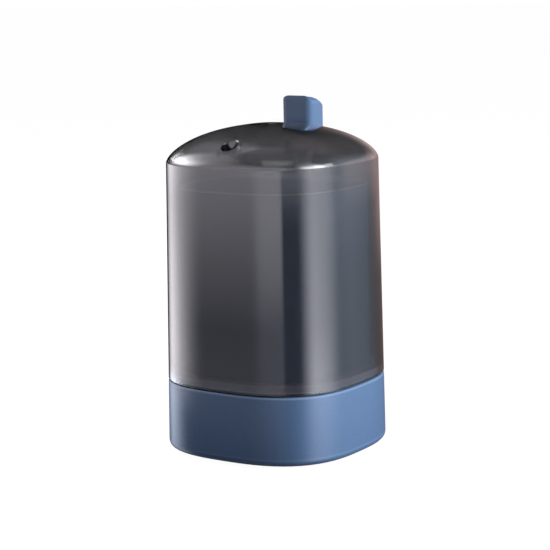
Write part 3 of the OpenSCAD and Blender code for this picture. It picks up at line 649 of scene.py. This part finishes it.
SMOKE = make_smoke()
BLUE_COLOUR = (0.125, 0.235, 0.44)
# Both bands on the base are painted highlights: a light line on the bevel under the seam and a
# light line at the start of the lower round.
BLUE = finish("satin_blue", "blue_plastic", BLUE_COLOUR, SKIN, (0.26, 0.36), (0.1, 0.04),
              bands=((SEAM_Z - 0.75, SEAM_Z - 0.3, 0.15, 1, (0.22, 0.36, 0.58)),
                     (BASE_ROUND_Z - 0.1, BASE_ROUND_Z + 0.1, 0.3, 1, (0.17, 0.3, 0.52))),
              Specular_IOR_Level=1.0)
KNOB = finish("gloss_blue", "blue_plastic", BLUE_COLOUR, SKIN, (0.12, 0.2), (0.05, 0.03),
              Specular_IOR_Level=0.6)
SLATE_COLOUR = (0.2, 0.31, 0.5)
SLATE = finish("satin_slate", "slate_plastic", SLATE_COLOUR, SKIN, (0.38, 0.5), (0.14, 0.04))
# The box's bands: a painted highlight along the rim, a paler flange, and a painted highlight along
# the flange's top.
BOX = finish("satin_slate_box", "slate_plastic", SLATE_COLOUR, SKIN, (0.38, 0.5), (0.14, 0.04),
             bands=((BIN_TOP - 0.25, BIN_TOP + 1, 0.1, 1, (0.75, 0.77, 0.8)),
                    (SEAM_Z, FLANGE_TOP, 0.1, 1, (0.31, 0.36, 0.46)),
                    (FLANGE_TOP - 0.25, FLANGE_TOP + 0.1, 0.1, 0, (0.55, 0.58, 0.68))))
DARK = finish("grained_dark", "dark_plastic", (0.03, 0.033, 0.04), SKIN, (0.45, 0.6), (0.3, 0.06),
              [("Grain Scale", 2200.0)])
RUBBER = finish("foot_rubber", "foot_rubber", (0.02, 0.02, 0.022), SKIN, (0.7, 0.85), (0.5, 0.08),
                [("Grain Scale", 1800.0), ("Scuffs", 0.6)])
ACETAL = finish("acetal", "white_acetal", (0.78, 0.77, 0.73), SKIN, (0.3, 0.42), (0.1, 0.03))
STEEL = finish("drawn_steel", "steel", (0.62, 0.62, 0.64), METAL, (0.18, 0.36), (0.15, 0.03),
               Metallic=1.0)

make_cover(SMOKE)
make_button(KNOB)
make_spring(STEEL)
for node_name, body_name, skin_finish in (
        ("base_shell", "base", BLUE), ("bin", "base", BOX), ("bottom_plate", "base", DARK),
        ("foot_front_left", "base", RUBBER), ("foot_front_right", "base", RUBBER),
        ("foot_rear_left", "base", RUBBER), ("foot_rear_right", "base", RUBBER),
        ("base_screws", "base", STEEL), ("bin_screws", "base", STEEL), ("shaft_cap", "base", SLATE),
        ("cap_screws", "base", STEEL), ("push_rod", "plunger", ACETAL),
        ("spring_clip", "plunger", STEEL), ("rocker_lever", "lever", ACETAL),
        ("pivot_pin", "base", STEEL), ("rod_link_pin", "plunger", STEEL),
        ("pusher", "pusher", ACETAL), ("pusher_link_pin", "pusher", STEEL)):
    welded(node_name, body_name, skin_finish)


# ---------------------------------------------------------------- camera, floor and light

GROUND = (0.12, 0.125, 0.14)


def make_camera():
    """Camera fitted to the photograph's outlines: at yaw to the right of the front, looking a
    little down, rolled slightly."""
    yaw, pitch, roll = 0.5747, 0.1663, -0.0196
    distance, height = 536.1 * MM, 141.6 * MM
    focal, sensor = 118.47, 36
    forward = Vector((-math.sin(yaw) * math.cos(pitch), math.cos(yaw) * math.cos(pitch),
                      -math.sin(pitch)))
    right = Vector((math.cos(yaw), math.sin(yaw), 0))
    up = right.cross(forward)
    side = right * math.cos(roll) + up * math.sin(roll)
    rise = up * math.cos(roll) - right * math.sin(roll)
    data = bpy.data.cameras.new("camera")
    data.sensor_width = sensor
    data.lens = focal
    data.clip_start, data.clip_end = 0.01, 100
    camera = bpy.data.objects.new("camera", data)
    place = Matrix.Translation((distance * math.sin(yaw), -distance * math.cos(yaw), height))
    camera.matrix_world = place @ Matrix((side, rise, -forward)).transposed().to_4x4()
    bpy.context.scene.collection.objects.link(camera)
    bpy.context.scene.camera = camera


def empty_material(name):
    """A material with no nodes yet, and its tree."""
    material = bpy.data.materials.new(name)
    material.use_nodes = True
    material.node_tree.nodes.clear()
    return material, material.node_tree


def emission_mix(tree, base, colour, strength, mask):
    """base mixed with an emission by a mask."""
    glow = node_in(tree, "ShaderNodeEmission", [("Color", colour), ("Strength", strength)])
    mix = node_in(tree, "ShaderNodeMixShader", [(0, mask), (1, base), (2, glow.outputs[0])])
    return mix.outputs[0]


def seen_directly(tree, path):
    """1 for rays from the camera and rays that come through clear pieces."""
    camera, through = path.outputs["Is Camera Ray"], path.outputs["Is Transmission Ray"]
    return maths(tree, "MAXIMUM", camera, through)


def make_floor():
    """A plain pale floor. The camera sees it lifted towards white with the shadow left in it.
    Mirror rays see the light cards in its place, and to bounced light it is dim."""
    size = 6.0
    pale, pale_by_bounce = (0.82, 0.82, 0.83, 1), (0.22, 0.22, 0.23, 1)
    lift, white_level = 0.8, 1.21
    mesh = bpy.data.meshes.new("floor")
    corners = [(-size, -size, 0), (size, -size, 0), (size, size, 0), (-size, size, 0)]
    mesh.from_pydata(corners, [], [(0, 1, 2, 3)])
    floor = bpy.data.objects.new("floor", mesh)
    bpy.context.scene.collection.objects.link(floor)
    material, tree = empty_material("pale_floor")
    path = node_in(tree, "ShaderNodeLightPath")
    bounce = colour_mix(tree, path.outputs["Is Diffuse Ray"], pale, pale_by_bounce)
    plain = node_in(tree, "ShaderNodeBsdfDiffuse", [("Color", bounce)]).outputs[0]
    seen = maths(tree, "MULTIPLY", seen_directly(tree, path), lift)
    shader = emission_mix(tree, plain, (1, 1, 1, 1), white_level, seen)
    shader = emission_mix(tree, shader, GROUND + (1,), 1.0, path.outputs["Is Glossy Ray"])
    tree.links.new(shader, node_in(tree, "ShaderNodeOutputMaterial").inputs[0])
    mesh.materials.append(material)
    floor.visible_glossy = False


def make_world():
    """White to the camera and through clear pieces, and a dim grey room to mirrors and as light."""
    soft_light, mirrored, white = (0.12, 0.125, 0.145, 1), (0.1, 0.1, 0.108, 1), (1, 1, 1, 1)
    world = bpy.data.worlds.new("room")
    bpy.context.scene.world = world
    world.use_nodes = True
    tree = world.node_tree
    tree.nodes.clear()
    path = node_in(tree, "ShaderNodeLightPath")
    colour = colour_mix(tree, path.outputs["Is Glossy Ray"], soft_light, mirrored)
    colour = colour_mix(tree, seen_directly(tree, path), colour, white)
    room = node_in(tree, "ShaderNodeBackground", [("Color", colour), ("Strength", 1.0)])
    tree.links.new(room.outputs[0], node_in(tree, "ShaderNodeOutputWorld").inputs[0])


def softbox(name, azimuth, distance, height, size, watts):
    """A rectangular lamp at an azimuth from the front towards the right, in metres and degrees,
    aimed at the object's middle. Mirror rays don't see it."""
    aim = Vector((0, 0, 0.05))
    data = bpy.data.lights.new(name, "AREA")
    data.shape = "RECTANGLE"
    data.size, data.size_y = size
    data.energy = watts
    lamp = bpy.data.objects.new(name, data)
    a = math.radians(azimuth)
    place = Vector((distance * math.sin(a), -distance * math.cos(a), height))
    turn = (aim - place).to_track_quat("-Z", "Y").to_matrix().to_4x4()
    lamp.matrix_world = Matrix.Translation(place) @ turn
    lamp.visible_glossy = False
    bpy.context.scene.collection.objects.link(lamp)


WARM, PLAIN, COOL, COLD = (1.3, 0.95, 0.92), (1.0, 0.96, 1.02), (0.96, 0.97, 1.07), (0.9, 1.0, 1.18)
FRONT = (1.0, 0.94, 1.02)
# Cards of the near ring, which the walls mirror, then of the far one, which the dome mirrors. A row
# gives the first and last azimuth, from the front towards the right, each with the width of its
# soft edge in degrees, the tint, and the light level at heights in millimetres.
NEAR_CARDS = (
    (-94, 22, -62, 26, COLD, ((-40, 1.3), (0, 2.2), (5, 2.2), (12, 0.0))),
    (-92, 30, -53, 43, PLAIN, ((2, 0.0), (12, 2.3), (20, 2.4), (50, 2.2), (70, 2.0), (80, 2.4))),
    (-52, 30, 33, 3, FRONT, ((-30, 0.03), (0, 0.15), (12, 0.2), (30, 0.17), (50, 0.4), (70, 0.7),
                             (85, 0.92))),
    (3, 14, 31, 5, COOL, ((-30, 0.03), (0, 0.1), (30, 0.15), (50, 0.36), (70, 0.36), (88, 0.15))),
    (33, 4, 62, 20, COOL, ((0, 0.05), (62, 0.05), (70, 0.15), (77, 0.45))),
    (63, 24, 95, 40, COOL, ((-30, 1.3), (0, 1.7), (15, 2.3), (30, 1.9), (55, 1.75), (76, 1.7))),
    (92, 24, 142, 40, COLD, ((-30, 0.2), (0, 0.38), (50, 0.45), (70, 0.62), (85, 0.65))),
    (118, 24, 160, 18, WARM, ((66, 0.0), (78, 0.2))),
    (150, 24, 215, 30, WARM, ((0, 0.1), (40, 0.13), (62, 0.28), (88, 0.32))))
FAR_CARDS = (
    (-97, 19, -60, 36, PLAIN, ((90, 0.8), (170, 0.8), (210, 3.0), (255, 6.8), (350, 6.0),
                               (390, 3.9), (476, 1.7), (550, 1.0), (710, 0.4), (800, 0.1))),
    (-126, 18, -97, 22, PLAIN, ((300, 0.0), (400, 0.2), (520, 0.27), (700, 0.42))),
    (-66, 30, 38, 6, FRONT, ((90, 0.9), (160, 0.9), (280, 0.66), (400, 0.55), (550, 0.15),
                             (700, 0.0))),
    (36, 6, 70, 20, COOL, ((90, 0.45), (230, 0.48), (320, 0.42), (420, 0.0))),
    (70, 26, 108, 20, COOL, ((90, 1.2), (168, 1.2), (195, 3.5), (232, 6.0), (305, 6.0),
                             (350, 5.0), (425, 2.5), (540, 0.7), (800, 0.2))),
    (104, 24, 158, 40, COLD, ((90, 0.65), (225, 0.7), (350, 0.35), (480, 0.13))),
    (132, 24, 176, 18, WARM, ((90, 0.2), (130, 0.4), (190, 0.4), (230, 0.2), (260, 0.0))),
    (163, 24, 203, 20, WARM, ((90, 0.36), (150, 0.45), (200, 0.15), (260, 0.0), (400, 0.05),
                              (560, 0.12))))


def make_cards(name, cards, radius, bottom, top, step):
    """A ring of upright soft cards round the object that only mirror rays see. Its colour at a
    point is the sum of its cards there, kept as an attribute of the mesh. A ring that starts below
    the ground is closed by a dim disc at its foot."""
    turn = np.linspace(-180, 180, 361)
    rise = np.arange(bottom, top + step, step, dtype=float)
    reach = np.full(len(rise), radius)
    colour = np.zeros((len(rise), len(turn), 4))
    for first, first_soft, last, last_soft, tint, stops in cards:
        middle = (first + last) / 2
        away = (turn - middle + 180) % 360 - 180
        across = (smooth_step((away + middle - first) / first_soft + 0.5)
                  * smooth_step((last - middle - away) / last_soft + 0.5))
        level = np.interp(rise, *np.array(stops).T)
        colour[..., :3] += level[:, None, None] * across[None, :, None] * np.array(tint)
    if bottom < 0:
        rise = np.concatenate(([bottom, bottom], rise))
        reach = np.concatenate(([0.0, radius - 0.1], reach))
        colour = np.concatenate((np.zeros((2,) + colour.shape[1:]), colour))
        colour[:2, :, :3] = GROUND
    colour[..., 3] = 1
    a = np.radians(turn)
    grid = stack(reach[:, None] * np.sin(a), -reach[:, None] * np.cos(a), rise[:, None])
    mesh = bpy.data.meshes.new(name)
    mesh.from_pydata((grid.reshape(-1, 3) * MM).tolist(), [],
                     grid_faces(len(rise), len(turn), False).tolist())
    light = mesh.attributes.new("light", "FLOAT_COLOR", "POINT")
    light.data.foreach_set("color", colour.ravel())
    ring = bpy.data.objects.new(name, mesh)
    bpy.context.scene.collection.objects.link(ring)
    material, tree = empty_material(name)
    light = node_in(tree, "ShaderNodeAttribute", attribute_name="light").outputs["Color"]
    glow = node_in(tree, "ShaderNodeEmission", [("Color", light), ("Strength", 1.0)]).outputs[0]
    tree.links.new(glow, node_in(tree, "ShaderNodeOutputMaterial").inputs[0])
    mesh.materials.append(material)
    for key in ("visible_camera", "visible_diffuse", "visible_transmission", "visible_shadow",
                "visible_volume_scatter"):
        setattr(ring, key, False)


make_camera()
make_floor()
make_world()
softbox("right_key", azimuth=108, distance=0.6, height=0.22, size=(0.35, 0.3), watts=3.9)
softbox("left_rim", azimuth=-108, distance=0.7, height=0.25, size=(0.2, 0.35), watts=1.9)
softbox("top_fill", azimuth=20, distance=0.35, height=0.9, size=(0.5, 0.5), watts=1.3)
make_cards("near_cards", NEAR_CARDS, radius=90.0, bottom=-60, top=88, step=2)
make_cards("far_cards", FAR_CARDS, radius=400.0, bottom=60, top=800, step=10)

bpy.context.scene.view_settings.view_transform = "Standard"
